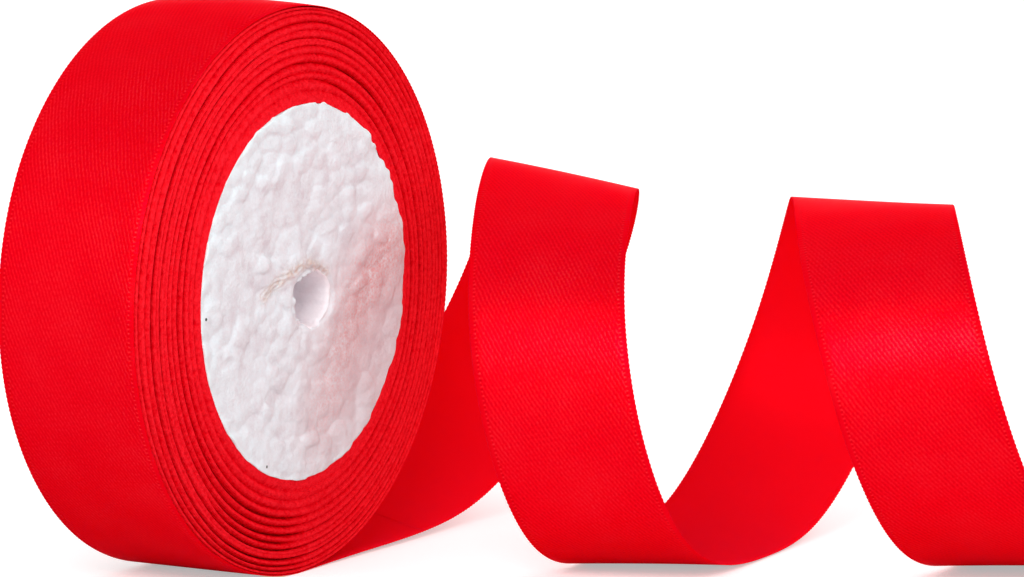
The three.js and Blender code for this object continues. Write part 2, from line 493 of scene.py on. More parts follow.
def smooth_noise(rng, count, knots):
    """Periodic noise of unit size: count samples of a curve through so many random knots."""
    values = rng.normal(size=knots)
    place = np.arange(count) * knots / count
    k = place.astype(int)
    t = place - k
    t = t * t * (3 - 2 * t)
    return values[k % knots] * (1 - t) + values[(k + 1) % knots] * t


# ---------------------------------------------------------------- materials


def math_node(tree, operation, a, b=0.5, c=None):
    """A maths node whose inputs are numbers or other nodes' outputs."""
    made = tree.nodes.new("ShaderNodeMath")
    made.operation = operation
    for i, value in enumerate([a, b, c]):
        if value is None:
            continue
        if isinstance(value, (int, float)):
            made.inputs[i].default_value = value
        else:
            tree.links.new(value, made.inputs[i])
    return made.outputs[0]


def new_material(name):
    """A material, its node tree and its shader."""
    material = bpy.data.materials.new(name)
    material.use_nodes = True
    tree = material.node_tree
    shader = tree.nodes["Principled BSDF"]
    return material, tree, shader


def set_surface(shader, surface):
    """Gives the shader's inputs these values, by name."""
    for name, value in surface.items():
        shader.inputs[name].default_value = value


def ramp(tree, value, stops):
    """A colour that follows a value through stops of place and colour."""
    made = tree.nodes.new("ShaderNodeValToRGB")
    elements = made.color_ramp.elements
    while len(elements) < len(stops):
        elements.new(0.5)
    for element, (place, colour) in zip(elements, stops):
        element.position = place
        element.color = (*colour, 1)
    tree.links.new(value, made.inputs["Fac"])
    return made.outputs["Color"]


def bump(tree, height, distance):
    """A normal tilted by relief of this depth in metres."""
    made = tree.nodes.new("ShaderNodeBump")
    made.inputs["Distance"].default_value = distance
    tree.links.new(height, made.inputs["Height"])
    return made.outputs["Normal"]


def ribbon_coordinates(tree):
    """Across and along the ribbon, in millimetres."""
    attribute = tree.nodes.new("ShaderNodeAttribute")
    attribute.attribute_name = "ribbon_mm"
    parts = tree.nodes.new("ShaderNodeSeparateXYZ")
    tree.links.new(attribute.outputs["Vector"], parts.inputs[0])
    return attribute.outputs["Vector"], parts.outputs["X"], parts.outputs["Y"]


def noise(tree, vector, scale, detail=2.0, roughness=0.5):
    """Noise from 0 to 1 at places given by a vector, with so many features per unit of it."""
    made = tree.nodes.new("ShaderNodeTexNoise")
    made.inputs["Scale"].default_value = scale
    made.inputs["Detail"].default_value = detail
    made.inputs["Roughness"].default_value = roughness
    tree.links.new(vector, made.inputs["Vector"])
    return made.outputs["Fac"]


def selvedge_mask(tree, across):
    """1 on the stitched line near each edge of the ribbon, 0 elsewhere; and 1 outside that line."""
    from_edge = math_node(tree, "PINGPONG", across, WIDTH / 2)
    line = math_node(tree, "SUBTRACT", from_edge, SELVEDGE_LINE)
    line = math_node(tree, "ABSOLUTE", line)
    line = math_node(tree, "DIVIDE", line, SELVEDGE_HALF_WIDTH)
    line = math_node(tree, "SUBTRACT", 1.0, line)
    line = math_node(tree, "MAXIMUM", line, 0.0)
    border = math_node(tree, "LESS_THAN", from_edge, SELVEDGE_LINE)
    return line, border


def sine(tree, value, period):
    """A wave from -1 to 1 of this period."""
    turned = math_node(tree, "MULTIPLY", value, 2 * math.pi / period)
    return math_node(tree, "SINE", turned)


def woven_height(tree, vector, across, along):
    """Twill ridges of the satin, about -1 to 1 high, broken into uneven floats."""
    turned = math_node(tree, "MULTIPLY", along, -TWILL_ALONG)
    slant = math_node(tree, "MULTIPLY_ADD", across, TWILL_ACROSS, turned)
    wander = noise(tree, vector, WANDER_SCALE)
    slant = math_node(tree, "MULTIPLY_ADD", wander, WANDER_AMOUNT, slant)
    ridges = sine(tree, slant, TWILL_PERIOD)
    other = math_node(tree, "MULTIPLY", along, COUNTER_ALONG)
    other = math_node(tree, "MULTIPLY_ADD", across, COUNTER_ACROSS, other)
    counter = sine(tree, other, COUNTER_PERIOD)
    uneven = noise(tree, vector, UNEVEN_SCALE, 2.0, 0.6)
    uneven = math_node(tree, "SUBTRACT", uneven, 0.5)
    height = math_node(tree, "MULTIPLY_ADD", counter, COUNTER_HEIGHT, ridges)
    return math_node(tree, "MULTIPLY_ADD", uneven, UNEVEN_HEIGHT, height)


def let_light_through(shader, depth):
    """Lets light in to this depth in mm, so a single layer glows when its other side is lit."""
    shader.inputs["Subsurface Weight"].default_value = 1.0
    shader.inputs["Subsurface Radius"].default_value = SATIN_SCATTER
    shader.inputs["Subsurface Scale"].default_value = depth * MM


def satin_outer(name, light_depth, red):
    """Glossy face: fine twill ridges of floats, with a plain selvedge outside a stitched line."""
    material, tree, shader = new_material(name)
    vector, across, along = ribbon_coordinates(tree)
    set_surface(shader, SATIN_SURFACE)
    let_light_through(shader, light_depth)
    line, border = selvedge_mask(tree, across)
    inside = math_node(tree, "SUBTRACT", 1.0, border)
    weave = woven_height(tree, vector, across, along)
    weave = math_node(tree, "MULTIPLY", weave, inside)
    stitch = sine(tree, along, STITCH_PERIOD)
    stitch = math_node(tree, "MULTIPLY", stitch, line)
    height = math_node(tree, "MULTIPLY_ADD", stitch, STITCH_HEIGHT, weave)
    patches = noise(tree, vector, SATIN_PATCH_SCALE, 3.0)
    value = math_node(tree, "MULTIPLY_ADD", weave, WEAVE_SHADE, BASE_SHADE)
    value = math_node(tree, "MULTIPLY_ADD", stitch, STITCH_SHADE, value)
    value = math_node(tree, "MULTIPLY_ADD", patches, PATCH_SHADE, value)
    # For the tail, red is the lighter copy: painted glow
    colour = ramp(tree, value, [(0.2, SATIN_DARK), (0.5, red), (0.8, SATIN_LIGHT)])
    tree.links.new(colour, shader.inputs["Base Color"])
    tree.links.new(bump(tree, height, SATIN_RELIEF * MM), shader.inputs["Normal"])
    return material


def satin_inner(name, light_depth):
    """Matt back of single-face satin: smooth, with very fine cross ribs."""
    material, tree, shader = new_material(name)
    vector, across, along = ribbon_coordinates(tree)
    set_surface(shader, MATT_SURFACE)
    let_light_through(shader, light_depth)
    ribs = sine(tree, along, RIB_PERIOD)
    line, _ = selvedge_mask(tree, across)
    stitch = sine(tree, along, STITCH_PERIOD)
    stitch = math_node(tree, "MULTIPLY", stitch, line)
    height = math_node(tree, "ADD", ribs, stitch)
    patches = noise(tree, vector, MATT_PATCH_SCALE, 3.0)
    value = math_node(tree, "MULTIPLY_ADD", ribs, RIB_SHADE, BASE_SHADE)
    value = math_node(tree, "MULTIPLY_ADD", patches, PATCH_SHADE, value)
    value = math_node(tree, "MULTIPLY_ADD", stitch, MATT_STITCH_SHADE, value)
    # The matt back is painted in reds lighter than the glossy face's: painted glow
    colour = ramp(tree, value, [(0.2, PAINTED_GLOW_RED), (0.7, INNER_RED)])
    tree.links.new(colour, shader.inputs["Base Color"])
    tree.links.new(bump(tree, height, MATT_RELIEF * MM), shader.inputs["Normal"])
    return material


def satin_edge():
    """Woven edges of the wound turns, packed together: soft beads and short bright dashes, with painted
    shade in the grooves between bands of turns.
    """
    material, tree, shader = new_material("satin_edge")
    place = tree.nodes.new("ShaderNodeTexCoord").outputs["Object"]
    vector, _, _ = ribbon_coordinates(tree)
    parts = tree.nodes.new("ShaderNodeSeparateXYZ")
    tree.links.new(vector, parts.inputs[0])
    set_surface(shader, EDGE_SURFACE)
    beads = noise(tree, place, EDGE_BEAD_SCALE, 2.0, 0.6)
    loops = noise(tree, vector, EDGE_LOOP_SCALE, 2.0)
    height = math_node(tree, "MULTIPLY_ADD", loops, LOOP_HEIGHT, beads)
    value = math_node(tree, "MULTIPLY_ADD", loops, LOOP_SHADE, EDGE_BASE_SHADE)
    value = math_node(tree, "MULTIPLY_ADD", beads, EDGE_BEAD_SHADE, value)
    # Painted shade: darker towards the groove colour where the groove is deep
    value = math_node(tree, "MULTIPLY_ADD", parts.outputs["Z"], GROOVE_PAINTED_DARKENING, value)
    colour = ramp(tree, value, [(0.0, PAINTED_SHADE_RED), (0.4, EDGE_RED), (0.8, EDGE_LIGHT)])
    tree.links.new(colour, shader.inputs["Base Color"])
    tree.links.new(bump(tree, height, EDGE_RELIEF * MM), shader.inputs["Normal"])
    return material


def foam():
    """Expanded polystyrene: soft fused beads, faint pink and blue mottling, light let in below the skin;
    painted red bounce light beside the hole, painted bluish light at the rim and painted light on the
    hole's wall.
    """
    material, tree, shader = new_material("foam")
    attribute = tree.nodes.new("ShaderNodeAttribute")
    attribute.attribute_name = "face_mm"
    tints = tree.nodes.new("ShaderNodeAttribute")
    tints.attribute_name = "foam_tint_and_painted_light"
    amounts = tree.nodes.new("ShaderNodeSeparateXYZ")
    tree.links.new(tints.outputs["Vector"], amounts.inputs[0])
    place = tree.nodes.new("ShaderNodeTexCoord").outputs["Object"]
    set_surface(shader, FOAM_SURFACE)
    mottle = noise(tree, place, MOTTLE_SCALE, 4.0, 0.6)
    grain = noise(tree, place, GRAIN_SCALE, 3.0, 0.6)
    speckle = noise(tree, place, SPECKLE_SCALE, 2.0, 0.7)
    shade = math_node(tree, "MULTIPLY_ADD", speckle, SPECKLE_SHADE, mottle)
    colour = ramp(tree, shade, FOAM_COLOURS)
    # Painted red bounce light from the tail, patchy
    patchy = math_node(tree, "MULTIPLY_ADD", speckle, *BOUNCE_PATCHY)
    bounce_pink = math_node(tree, "MULTIPLY", amounts.outputs["X"], patchy)
    colour = mixed_colour(tree, bounce_pink, colour, PAINTED_BOUNCE_PINK)
    strands = noise(tree, place, STRAND_SCALE, 2.0)
    strands = math_node(tree, "MULTIPLY_ADD", strands, *BEIGE_PATCHY)
    beige = math_node(tree, "MULTIPLY", amounts.outputs["Y"], strands)
    colour = mixed_colour(tree, beige, colour, FOAM_BEIGE)
    # Painted light on the hole's wall
    colour = mixed_colour(tree, amounts.outputs["Z"], colour, HOLE_PAINTED_LIGHT)
    away = tree.nodes.new("ShaderNodeVectorMath")
    away.operation = "LENGTH"
    tree.links.new(attribute.outputs["Vector"], away.inputs[0])
    # Painted bluish light towards the core's edge
    for start, end, amount in RIM_LIGHT_BANDS:
        near = tree.nodes.new("ShaderNodeMapRange")
        near.inputs["From Min"].default_value = start
        near.inputs["From Max"].default_value = end
        near.inputs["To Max"].default_value = amount
        tree.links.new(away.outputs["Value"], near.inputs["Value"])
        colour = mixed_colour(tree, near.outputs["Result"], colour, RIM_PAINTED_LIGHT)
    for speck in FOAM_SPECKS:
        away = tree.nodes.new("ShaderNodeVectorMath")
        away.operation = "DISTANCE"
        tree.links.new(attribute.outputs["Vector"], away.inputs[0])
        away.inputs[1].default_value = (*speck, 0)
        near = math_node(tree, "LESS_THAN", away.outputs["Value"], SPECK_RADIUS)
        colour = mixed_colour(tree, near, colour, SPECK_COLOUR)
    tree.links.new(colour, shader.inputs["Base Color"])
    height = math_node(tree, "MULTIPLY_ADD", mottle, MOTTLE_HEIGHT, grain)
    height = math_node(tree, "MULTIPLY_ADD", speckle, SPECKLE_HEIGHT, height)
    tree.links.new(bump(tree, height, FOAM_RELIEF * MM), shader.inputs["Normal"])
    return material


def mixed_colour(tree, share, first, second):
    """One colour covered by a share of another."""
    mix = tree.nodes.new("ShaderNodeMix")
    mix.data_type = "RGBA"
    mix.clamp_factor = True
    tree.links.new(share, mix.inputs["Factor"])
    tree.links.new(first, mix.inputs["A"])
    mix.inputs["B"].default_value = (*second, 1)
    return mix.outputs["Result"]


def tape():
    """Yellowish paper tape."""
    material, tree, shader = new_material("tape")
    place = tree.nodes.new("ShaderNodeTexCoord").outputs["Object"]
    shader.inputs["Roughness"].default_value = TAPE_ROUGHNESS
    mottle = noise(tree, place, TAPE_MOTTLE_SCALE, 3.0)
    colour = ramp(tree, mottle, TAPE_COLOURS)
    tree.links.new(colour, shader.inputs["Base Color"])
    return material


def floor_material():
    """Pale floor, lifted to the backdrop's white where the camera sees it."""
    material, tree, shader = new_material("pale_floor")
    place = tree.nodes.new("ShaderNodeTexCoord").outputs["Object"]
    set_surface(shader, FLOOR_SURFACE)
    mottle = noise(tree, place, FLOOR_MOTTLE_SCALE)
    seen = tree.nodes.new("ShaderNodeLightPath").outputs["Is Camera Ray"]
    value = math_node(tree, "MULTIPLY_ADD", mottle, FLOOR_MOTTLE, FLOOR_BOUNCE)
    value = math_node(tree, "MULTIPLY_ADD", seen, FLOOR_SEEN - FLOOR_BOUNCE, value)
    tree.links.new(value, shader.inputs["Base Color"])
    lift = math_node(tree, "MULTIPLY", seen, FLOOR_LIFT)
    shader.inputs["Emission Color"].default_value = (1, 1, 1, 1)
    tree.links.new(lift, shader.inputs["Emission Strength"])
    return material


# ---------------------------------------------------------------- camera, light, floor


def view_axes():
    """The camera's directions: back towards the camera, right, and up."""
    a, e = VIEW_AZIMUTH, VIEW_ELEVATION
    back = Vector((math.sin(a) * math.cos(e), -math.cos(a) * math.cos(e), math.sin(e)))
    right = Vector((math.cos(a), math.sin(a), 0))
    return back, right, back.cross(right)


def make_camera():
    """The scene's camera, looking at the roll from its front left."""
    back, right, up = view_axes()
    target = Vector((0, MID_Y * MM, ROLL_RADIUS * MM)) + right * VIEW_ACROSS + up * VIEW_UP
    data = bpy.data.cameras.new("camera")
    data.sensor_width = SENSOR_WIDTH
    data.lens = VIEW_LENS
    data.clip_start, data.clip_end = VIEW_CLIP
    camera = bpy.data.objects.new("camera", data)
    camera.location = target + back * VIEW_DISTANCE
    camera.rotation_mode = "QUATERNION"
    camera.rotation_quaternion = (-back).to_track_quat("-Z", "Y")
    bpy.context.scene.collection.objects.link(camera)
    bpy.context.scene.camera = camera


def area_light(name, place, target, size, power):
    """A rectangular softbox at a place, facing its target."""
    data = bpy.data.lights.new(name, "AREA")
    data.shape = "RECTANGLE"
    data.size, data.size_y = size
    data.energy = power
    light = bpy.data.objects.new(name, data)
    light.location = place
    light.rotation_mode = "QUATERNION"
    light.rotation_quaternion = (Vector(target) - Vector(place)).to_track_quat("-Z", "Y")
    bpy.context.scene.collection.objects.link(light)


def make_world():
    """Even studio light: brightest from the horizon, about half as bright from above and below."""
    world = bpy.data.worlds.new("studio")
    bpy.context.scene.world = world
    world.use_nodes = True
    tree = world.node_tree
    direction = tree.nodes.new("ShaderNodeTexCoord").outputs["Generated"]
    parts = tree.nodes.new("ShaderNodeSeparateXYZ")
    tree.links.new(direction, parts.inputs[0])
    height = math_node(tree, "MULTIPLY_ADD", parts.outputs["Z"], 0.5, 0.5)
    grey = ramp(tree, height, [(place, (light,) * 3) for place, light in WORLD_LIGHT])
    tree.links.new(grey, tree.nodes["Background"].inputs["Color"])


def make_lights():
    """A key softbox in front, a fill to the right and a low one behind that shines through the tail."""
    back, right, _ = view_axes()
    middle = Vector(LIT_MIDDLE)
    front = Vector((back.x, back.y, 0)).normalized()
    raised = Vector((0, 0, math.sin(KEY_ELEVATION)))
    key = (front * math.cos(KEY_ELEVATION) + raised) * KEY_DISTANCE - right * KEY_SHIFT
    area_light("key_softbox", middle + key, middle, KEY_SIZE, KEY_POWER)
    raised = Vector((0, 0, math.sin(FILL_ELEVATION)))
    side = (front * FILL_FRONT + right * FILL_RIGHT) * math.cos(FILL_ELEVATION) + raised
    area_light("fill_softbox", middle + side * FILL_DISTANCE, middle, FILL_SIZE, FILL_POWER)
    raised = Vector((0, 0, math.sin(BACK_ELEVATION)))
    behind = -front * math.cos(BACK_ELEVATION) + raised
    area_light("back_softbox", middle + behind * BACK_DISTANCE, middle, BACK_SIZE, BACK_POWER)


def make_floor():
    """The floor, a plain square."""
    size = FLOOR_SIZE
    verts = [(-size, -size, 0), (size, -size, 0), (size, size, 0), (-size, size, 0)]
    floor = new_object("floor", verts, [(0, 1, 2, 3)], [floor_material()])


def make_stage():
    """World, lights and floor, and colours shown as they are."""
    make_world()
    make_lights()
    make_floor()
    bpy.context.scene.view_settings.view_transform = "Standard"


# ---------------------------------------------------------------- ribbon


def around_roll(knots, column, degrees):
    """Smooth closed curve through one column of a groove's knots, at angles in degrees."""
    angles = [knot[0] for knot in knots] + [knots[0][0] + 360]
    values = [knot[column] for knot in knots] + [knots[0][column]]
    place = np.interp(degrees % 360, angles, np.arange(len(angles)))
    k = np.minimum(place.astype(int), len(knots) - 1)
    t = place - k
    t = t * t * (3 - 2 * t)
    values = np.array(values)
    return values[k] * (1 - t) + values[k + 1] * t


def shoulder_at(degrees):
    """How far the outermost turns stand back at an angle in degrees, in mm."""
    return np.interp(degrees, *zip(*SHOULDER))


def face_offset(radius, angle):
    """How far the ribbon's front edge stands back at a radius and angle of the roll's face, in mm.

    The face is a shallow cone of rounded ridges, with a groove between each two, and its outermost
    turns stand back a little. The second result is the groove's share of it.
    """
    degrees = np.degrees(angle) % 360
    radii = [np.full_like(radius, WOUND_INNER)]
    depths = [np.zeros_like(radius)]
    for knots in GROOVES:
        radii.append(around_roll(knots, 1, degrees))
        depths.append(GROOVE_SCALE * around_roll(knots, 2, degrees))
    radii.append(np.full_like(radius, WOUND_OUTER + THICKNESS))
    depths.append(np.zeros_like(radius))
    groove = np.zeros_like(radius)
    for i in range(len(radii) - 1):
        share = (radius - radii[i]) / (radii[i + 1] - radii[i])
        inside = (share >= 0) & (share < 1)
        near = np.clip(1 - 2 * share, 0, 1) ** GROOVE_SHAPE
        far = np.clip(2 * share - 1, 0, 1) ** GROOVE_SHAPE
        groove = groove + np.where(inside, depths[i] * near + depths[i + 1] * far, 0)
    cone = -FACE_STEP * (ROLL_RADIUS - radius) / (ROLL_RADIUS - CORE_RADIUS)
    outermost = np.clip((radius - SHOULDER_START) / (ROLL_RADIUS - SHOULDER_START), 0, 1)
    return cone + groove + shoulder_at(degrees) * outermost, groove


def sharpen_along(obj, points, corners):
    """Marks the long edges at these places round a lofted section as sharp."""
    mesh = obj.data
    ends = np.empty(len(mesh.edges) * 2, np.int32)
    mesh.edges.foreach_get("vertices", ends)
    ends = ends.reshape(-1, 2) % points
    sharp = (ends[:, 0] == ends[:, 1]) & np.isin(ends[:, 0], corners)
    attribute = mesh.attributes.new("sharp_edge", "BOOLEAN", "EDGE")
    attribute.data.foreach_set("value", sharp)


def cap_ends(faces, stations, points):
    """A tube's faces with one face added at each end."""
    first = tuple(range(points))[::-1]
    last = tuple(range((stations - 1) * points, stations * points))
    return [tuple(f) for f in faces] + [first, last]


def wound_sections(rng, start_turn, end_turn):
    """The wound ribbon between two turns, counted from the core: sections, their places on it with the
    share of painted shade from their groove, length.
    """
    count = int(round((end_turn - start_turn) * STATIONS_PER_TURN)) + 1
    turn = np.linspace(start_turn, end_turn, count)
    angle = turn * 2 * math.pi + WOUND_START
    radius = WOUND_INNER + PITCH * turn
    whole = turn.astype(int) - int(start_turn)
    jitter = rng.normal(size=whole.max() + 3) * TURN_JITTER
    t = turn - turn.astype(int)
    shift = jitter[whole] * (1 - t) + jitter[whole + 1] * t
    shift = shift + EDGE_JITTER * smooth_noise(rng, count, count // STATIONS_PER_WOBBLE)
    offset, groove = face_offset(radius, angle)
    front = MID_Y - WIDTH / 2 + offset + shift
    half = THICKNESS / 2
    profile = [(-half, 0, EDGE_NOTCH), (-half / 2, 0, 0), (half / 2, 0, 0), (half, 0, EDGE_NOTCH)]
    profile += [(out, WIDTH, -inset) for out, _, inset in reversed(profile)]
    rings = []
    for out, side, inset in profile:
        r = radius + out
        x = r * np.cos(angle)
        z = ROLL_RADIUS + r * np.sin(angle)
        rings.append(np.stack([x, front + side + inset, z], -1))
    step = np.diff(angle)
    along = np.r_[0, np.cumsum(radius[1:] * step)]
    coordinates = np.zeros((count, len(profile), 3))
    coordinates[..., 0] = [side + inset for _, side, inset in profile]
    coordinates[..., 1] = along[:, None]
    # Third number: share of painted shade, by how deep the groove is here
    coordinates[..., 2] = np.clip(groove / PAINTED_SHADE_DEPTH, 0, 1)[:, None]
    return np.stack(rings, 1), coordinates, along[-1]


def wound_ribbon(edge):
    """The wound turns below the outermost one, as one spiral cut into pieces."""
    total = (WOUND_OUTER - WOUND_INNER) / PITCH
    cuts = np.linspace(0, total, WOUND_PIECES + 1)
    for i in range(WOUND_PIECES):
        rng = np.random.default_rng(WOUND_SEED + i)
        sections, coordinates, length = wound_sections(rng, cuts[i], cuts[i + 1])
        verts, faces = loft(sections * MM)
        faces = cap_ends(faces, sections.shape[0], sections.shape[1])
        piece = new_object(f"wound_{i + 1}", verts, faces, [edge])
        sharpen_along(piece, sections.shape[1], WOUND_CORNERS)
        vector_attribute(piece, "ribbon_mm", coordinates.reshape(-1, 3))
        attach(piece, "roll")
        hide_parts(f"turns_{i + 1}")


def route_at(place):
    """Uniform cubic B-spline through the tail's route, with mirrored ends, at places along it."""
    last = len(TAIL_ROUTE) - 1
    before = 2 * TAIL_ROUTE[0] - TAIL_ROUTE[1]
    after = 2 * TAIL_ROUTE[last] - TAIL_ROUTE[last - 1]
    points = np.vstack([before, TAIL_ROUTE, after])
    segment = np.clip(place.astype(int), 0, last - 1)
    t = (place - segment)[:, None]
    weights = [(1 - t) ** 3, 3 * t**3 - 6 * t**2 + 4, -3 * t**3 + 3 * t**2 + 3 * t + 1, t**3]
    return sum(w * points[segment + k] for k, w in enumerate(weights)) / 6


def tail_frame(place):
    """Middle line, direction across and outward normal of the tail at places along its route."""
    values = route_at(place)
    middle = values[:, :3] + np.array([0, MID_Y, THICKNESS / 2])
    heading, tilt = np.radians(values[:, 3]), np.radians(values[:, 4])
    across = np.stack(
        [np.cos(heading) * np.cos(tilt), np.sin(heading) * np.cos(tilt), np.sin(tilt)], -1
    )
    ahead = route_at(place + DIRECTION_STEP)[:, :3] - route_at(place - DIRECTION_STEP)[:, :3]
    ahead /= np.linalg.norm(ahead, axis=1)[:, None]
    outward = np.cross(ahead, across)
    outward /= np.linalg.norm(outward, axis=1)[:, None]
    return middle, across, outward


def turn_frame(angle):
    """The same for the outermost turn, at angles round the roll, ending under the roll at 270 degrees."""
    radius = ROLL_RADIUS - THICKNESS / 2 - PITCH * (math.radians(270) - angle) / (2 * math.pi)
    outward = np.stack([np.cos(angle), np.zeros_like(angle), np.sin(angle)], -1)
    middle = outward * radius[:, None] + np.array([0, MID_Y, ROLL_RADIUS])
    middle[:, 1] += shoulder_at(np.degrees(angle))
    across = np.tile(np.array([0.0, -1.0, 0.0]), (len(angle), 1))
    return middle, across, outward


def strip(name, frames, along, materials):
    """A thin closed strip of ribbon: outer face, two scalloped edges, inner face."""
    middle, across, outward = frames
    u = np.linspace(0, 1, ACROSS_STEPS + 1)
    face_u = np.r_[EDGE_ROUNDING, u[1:-1], 1 - EDGE_ROUNDING]
    half = THICKNESS / 2
    section = [(v, half) for v in face_u] + [(1.0, 0.0)] + [(v, -half) for v in face_u[::-1]] + [(0.0, 0.0)]
    section = np.array(section)
    points = len(section)
    side = np.tile((section[:, 0] - 0.5) * WIDTH, (len(middle), 1))
    scallop = SCALLOP * np.cos(along * 2 * math.pi / SCALLOP_PITCH)
    side += scallop[:, None] * np.sign(side) * (np.abs(section[:, 0] - 0.5) > 0.5 - EDGE_SHARE)
    crown = CROWN * np.clip(outward[:, 2], 0, 1)[:, None] * (1 - (2 * section[:, 0] - 1) ** 2)
    lift = section[:, 1] + crown
    verts = middle[:, None] + across[:, None] * side[..., None] + outward[:, None] * lift[..., None]
    verts_flat, faces = loft(verts * MM)
    is_inner = np.zeros(points, int)
    inner_start = ACROSS_STEPS + 2
    is_inner[inner_start : inner_start + ACROSS_STEPS] = 1
    face_materials = list(np.tile(is_inner, len(middle) - 1)) + [0, 0]
    faces = cap_ends(faces, len(middle), points)
    piece = new_object(name, verts_flat, faces, materials, face_materials)
    coordinates = np.zeros((len(middle), points, 3))
    coordinates[..., 0] = section[:, 0] * WIDTH
    coordinates[..., 1] = along[:, None]
    vector_attribute(piece, "ribbon_mm", coordinates.reshape(-1, 3))
    return piece


def arc_length(points):
    """Length along a chain of points, from 0 at the first."""
    return np.r_[0, np.cumsum(np.linalg.norm(np.diff(points, axis=0), axis=1))]


def tail_piece(name, start, end, from_along, materials):
    """The tail between two places on its route, and the ribbon's length up to the second."""
    count = int((end - start) * POINT_SPACING / STATION_STEP)
    frames = tail_frame(np.linspace(start, end, count))
    along = arc_length(frames[0])
    piece = strip(name, frames, from_along + along, materials)
    return piece, from_along + along[-1]


def outer_ribbon(wound, free):
    """The outermost turn, the tail's bending start and the free tail: one ribbon in three pieces."""
    angle = np.radians(np.arange(TURN_START, TURN_END, TURN_STEP))
    join = np.linspace(0, TAIL_JOIN, TAIL_JOIN_STATIONS)[1:]
    frames = [np.vstack(pair) for pair in zip(turn_frame(angle), tail_frame(join))]
    along = arc_length(frames[0])
    turn = strip("outer_turn_satin", frames, along, wound)
    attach(turn, "outer_loop")
    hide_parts("outer_turn")

    start, length = tail_piece("tail_start_satin", TAIL_JOIN, TAIL_SPLIT, along[-1], free)
    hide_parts("tail_run")
    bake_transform(start)

    end = len(TAIL_ROUTE) - 1 - TAIL_CUT_BACK
    tail, _ = tail_piece("tail_satin", TAIL_SPLIT, end, length, free)
    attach(tail, "tail")
    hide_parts("tail_wave_1", "tail_wave_2", "tail_end")


# ---------------------------------------------------------------- core


def bead_relief(points, rng):
    """Height of fused foam beads at points (x, z in mm): soft domes of uneven height, about -1 to 1."""
    seeds = []
    points = points * (1 / BEAD_STRETCH, 1)
    reach = CORE_RADIUS + BEAD_MARGIN
    for i, x in enumerate(np.arange(-reach, reach, BEAD_SPACING * BEAD_COLUMN)):
        for z in np.arange(-reach, reach, BEAD_SPACING) + (i % 2) * BEAD_SPACING / 2:
            seed_x = x + rng.normal() * BEAD_SCATTER
            seed_z = z + rng.normal() * BEAD_SCATTER
            seeds.append((seed_x, seed_z, rng.normal()))
    seeds = np.array(seeds)
    height = np.zeros(len(points))
    for start in range(0, len(points), CHUNK):
        chunk = points[start : start + CHUNK]
        distance = np.linalg.norm(chunk[:, None] - seeds[None, :, :2], axis=2)
        weight = np.exp(-BEAD_BLEND * (distance - distance.min(1)[:, None]))
        total = weight.sum(1)
        soft = distance.min(1) - np.log(total) / BEAD_BLEND
        level = (weight * seeds[:, 2]).sum(1) / total
        dome = 1 - (soft / (BEAD_REACH * BEAD_SPACING)) ** 2
        height[start : start + CHUNK] = DOME_SHARE * np.clip(dome, -1, 1) + LEVEL_SHARE * level
    return height


def distance_to_line(points, corners):
    """Distance of points from a chain of straight pieces."""
    best = np.full(len(points), np.inf)
    for a, b in zip(np.array(corners[:-1]), np.array(corners[1:])):
        share = np.clip(((points - a) @ (b - a)) / ((b - a) @ (b - a)), 0, 1)
        best = np.minimum(best, np.linalg.norm(points - a - share[:, None] * (b - a), axis=1))
    return best


def waves(points, rng, size):
    """Smooth random field of about unit height with features of this size in mm."""
    field = np.zeros(len(points))
    for _ in range(WAVE_COUNT):
        angle, phase = rng.uniform(0, 2 * math.pi, 2)
        rate = 2 * math.pi / (size * rng.uniform(*WAVE_SPREAD))
        direction = np.array([math.cos(angle), math.sin(angle)]) * rate
        field += np.sin(points @ direction + phase)
    return field / math.sqrt(WAVE_COUNT / 2)


def core_outlines(rng, angle):
    """Radii of the hole's rim, of the ragged lip over the first turn, and of the core's side."""
    around = len(angle)
    oval = 1 / np.sqrt((np.cos(angle) / HOLE_HALF[0]) ** 2 + (np.sin(angle) / HOLE_HALF[1]) ** 2)
    rim = oval
    for size, knots in HOLE_RAGGED:
        rim = rim + size * smooth_noise(rng, around, knots)
    ragged = np.zeros(around)
    for size, knots in LIP_RAGGED:
        ragged = ragged + size * smooth_noise(rng, around, knots)
    ragged *= RAGGED_LEAST + RAGGED_MORE * np.clip(np.cos(angle - RAGGED_MOST_AT), 0, 1)
    spiral = PITCH * ((np.degrees(angle) + 90) % 360) / 360
    lip = CORE_RADIUS + LIP_OVERLAP + spiral + ragged
    side = CORE_RADIUS + SIDE_OVERLAP + spiral
    return rim, lip, side


